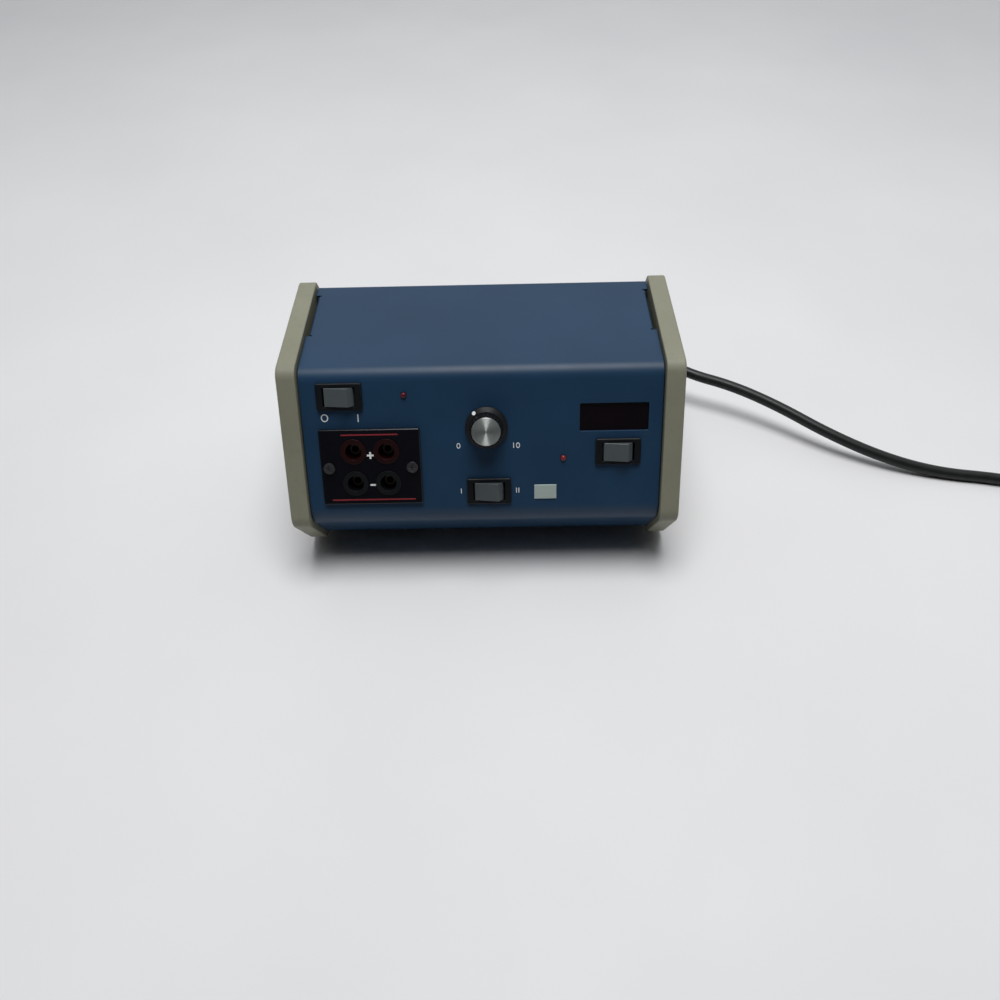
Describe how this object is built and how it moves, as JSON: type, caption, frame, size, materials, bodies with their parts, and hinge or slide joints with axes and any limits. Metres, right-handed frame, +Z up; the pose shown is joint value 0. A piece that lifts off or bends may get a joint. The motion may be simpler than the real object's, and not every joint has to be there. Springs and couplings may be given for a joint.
{
  "type": "electrophoresis power supply",
  "caption": "Bench power supply with hexagonal end panels, a folded case with a sloping front, rocker switches, a voltage knob, output jacks, a meter window and a mains cord.",
  "frame": {"origin": "on the table under the middle of the case, which is the middle of its box without the cord", "axes": "+X to the right of someone who faces the front, +Y to the back, +Z up"},
  "size_m": [0.5932, 0.2266, 0.126],
  "materials": {
    "putty_plastic": "fine moulded grain",
    "blue_paint": "satin baked enamel",
    "zinc_steel": "zinc plated",
    "black_rubber": "satin",
    "black_plastic": "fine texture",
    "grey_plastic": "smooth satin",
    "nickel_brass": "nickel plated",
    "steel_shaft": "turned",
    "aluminium": "turned or extruded",
    "red_plastic": "moulded",
    "dark_window": "clear dark red",
    "red_lens": "moulded lens",
    "pale_badge": "satin, blank",
    "core_steel": "varnished laminations",
    "copper_winding": "taped winding",
    "green_board": "lacquered laminate",
    "fuse_glass": "glass tube with plated ends"
  },
  "bodies": {
    "case": {"black_jacks": "black_plastic", "blank_badge": "pale_badge", "board_screws": "zinc_steel", "board_standoffs": "black_plastic", "bracket_rivets": "zinc_steel", "capacitors": "aluminium", "cord_coil": "black_rubber", "cord_tail": "black_rubber", "cover_screws": "zinc_steel", "digit_module": "black_plastic", "end_panel_screws": "zinc_steel", "feet": "black_rubber", "floor_screws": "zinc_steel", "front_cover": "blue_paint", "fuse_holder": "black_plastic", "fuse_lamp": "red_lens", "fuse_nut": "black_plastic", "heat_sink": "aluminium", "jack_contacts": "nickel_brass", "jack_nuts": "black_plastic", "large_nuts": "zinc_steel", "left_bracket": "zinc_steel", "left_end_panel": "putty_plastic", "main_board": "green_board", "mains_cord": "black_rubber", "meter_board": "green_board", "meter_posts": "black_plastic", "meter_switch_housing": "black_plastic", "meter_switch_terminals": "nickel_brass", "meter_window": "dark_window", "output_plate": "black_plastic", "output_plate_screws": "zinc_steel", "overload_lamp": "red_lens", "plug_body": "black_rubber", "plug_pins": "nickel_brass", "potentiometer_body": "grey_plastic", "potentiometer_nut": "zinc_steel", "power_switch_housing": "black_plastic", "power_switch_terminals": "nickel_brass", "power_transistors": "black_plastic", "range_switch_housing": "black_plastic", "range_switch_terminals": "nickel_brass", "rear_cover": "blue_paint", "red_jacks": "red_plastic", "right_bracket": "zinc_steel", "right_end_panel": "putty_plastic", "small_nuts": "zinc_steel", "strain_relief": "black_rubber", "tie_bars": "zinc_steel", "transformer_core": "core_steel", "transformer_strap": "zinc_steel", "transformer_winding": "copper_winding"},
    "power_rocker": {"power_rocker": "grey_plastic"},
    "range_rocker": {"range_rocker": "grey_plastic"},
    "meter_rocker": {"meter_rocker": "grey_plastic"},
    "knob": {"knob_body": "black_plastic", "knob_cap": "aluminium", "potentiometer_shaft": "steel_shaft"},
    "fuse": {"fuse": "fuse_glass"},
    "fuse_cap": {"fuse_cap": "black_plastic"}
  },
  "joints": [
    {"name": "power_rock", "type": "hinge", "parent": "case", "child": "power_rocker", "pos_m": [-0.0802, -0.04554, 0.10898], "axis": [0, 0.5, 0.866], "range_deg": [0, 26]},
    {"name": "range_rock", "type": "hinge", "parent": "case", "child": "range_rocker", "pos_m": [0.0032, -0.07419, 0.05936], "axis": [0, 0.5, 0.866], "range_deg": [0, 26]},
    {"name": "meter_rock", "type": "hinge", "parent": "case", "child": "meter_rocker", "pos_m": [0.078, -0.06289, 0.07893], "axis": [0, 0.5, 0.866], "range_deg": [0, 26]},
    {"name": "knob_turn", "type": "hinge", "parent": "case", "child": "knob", "pos_m": [0.0025, -0.0576, 0.09389], "axis": [0, -0.866, 0.5], "range_deg": [-189, 111]},
    {"name": "fuse_pull", "type": "slide", "parent": "case", "child": "fuse", "axis": [0, 1, 0], "range_m": [0, 0.045]},
    {"name": "fuse_cap_turn", "type": "hinge", "parent": "fuse", "child": "fuse_cap", "pos_m": [0.006, 0.042, 0.05], "axis": [0, 1, 0], "range_deg": [0, 90]}
  ]
}
